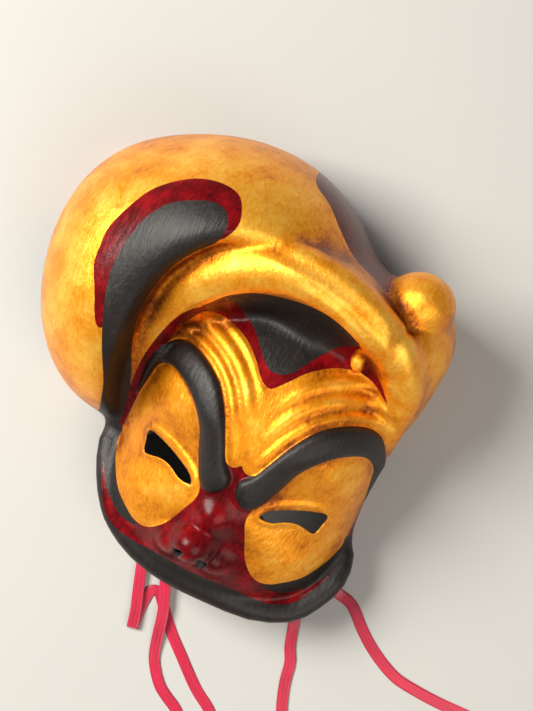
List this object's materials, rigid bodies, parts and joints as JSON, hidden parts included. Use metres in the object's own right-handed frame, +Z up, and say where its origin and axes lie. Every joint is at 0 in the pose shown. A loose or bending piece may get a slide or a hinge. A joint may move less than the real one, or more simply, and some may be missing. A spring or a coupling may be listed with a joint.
{
  "type": "theatre half mask with moulded cap",
  "caption": "Gilded and lacquered character half mask with a moulded cap, slit eyes, heavy brows and silk ribbon ties, lying on its open back.",
  "frame": {"origin": "on the floor, under the middle of the mask's own box, ties left out", "axes": "+Z up out of the face, away from the wearer's head; +Y towards the top of the cap; +X towards the wearer's left"},
  "size_m": [0.3853, 0.3752, 0.1146],
  "materials": {
    "gilded_lacquer": "gold leaf over papier-mache, with black and crimson lacquer, worn and toned",
    "silk_ribbon": "crimson satin ribbon"
  },
  "bodies": {
    "root": {"mask_shell": "gilded_lacquer", "tie_folded": "silk_ribbon", "tie_folded_coil": "silk_ribbon", "tie_right": "silk_ribbon", "tie_right_coil": "silk_ribbon", "tie_middle": "silk_ribbon", "tie_middle_coil": "silk_ribbon", "tie_left": "silk_ribbon", "tie_left_coil": "silk_ribbon"}
  },
  "joints": []
}
